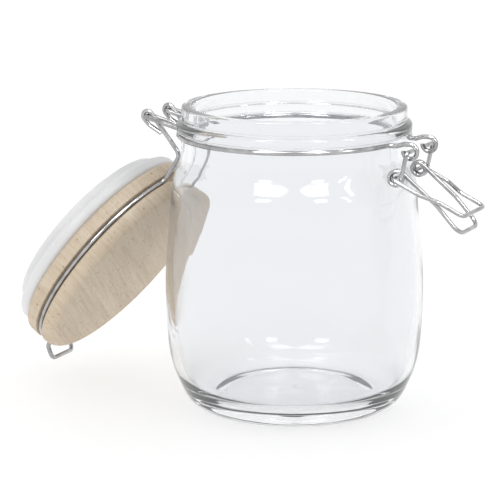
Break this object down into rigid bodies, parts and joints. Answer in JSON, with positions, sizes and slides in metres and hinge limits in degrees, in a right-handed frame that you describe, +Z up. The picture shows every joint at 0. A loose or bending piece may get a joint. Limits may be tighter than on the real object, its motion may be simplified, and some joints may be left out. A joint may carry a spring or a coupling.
{
  "type": "food canister",
  "caption": "Clear glass storage jar with a thick wooden lid and white seal, hinged on a steel wire closure with a toggle latch; shown with the lid swung open.",
  "frame": {"origin": "centre of the jar's foot, on the plane that it stands on", "axes": "+Z up along the jar's axis; +X from the lid hinge towards the latch; the hinge and latch pins run along Y"},
  "size_m": [0.209, 0.1104, 0.1303],
  "materials": {
    "glass": "clear, polished",
    "wire": "bright drawn wire",
    "wood": "pale, fine-grained, waxed",
    "seal": "matt, milky white silicone"
  },
  "bodies": {
    "jar": {"jar_body": "glass", "neck_wire": "wire"},
    "lid": {"lid_disc": "wood", "lid_gasket": "seal", "lid_wire": "wire"},
    "lever": {"latch_lever": "wire"},
    "bail": {"latch_bail": "wire"}
  },
  "joints": [
    {"name": "lid_hinge", "type": "hinge", "parent": "jar", "child": "lid", "pos_m": [-0.06545, 0, 0.1223], "axis": [0, 1, 0], "range_deg": [0, 233.2]},
    {"name": "latch_lever_pivot", "type": "hinge", "parent": "jar", "child": "lever", "pos_m": [0.0574, 0, 0.116], "axis": [0, -1, 0], "range_deg": [0, 75]},
    {"name": "latch_bail_pivot", "type": "hinge", "parent": "lever", "child": "bail", "pos_m": [0.0522, 0, 0.105], "axis": [0, -1, 0], "range_deg": [0, 65]}
  ]
}
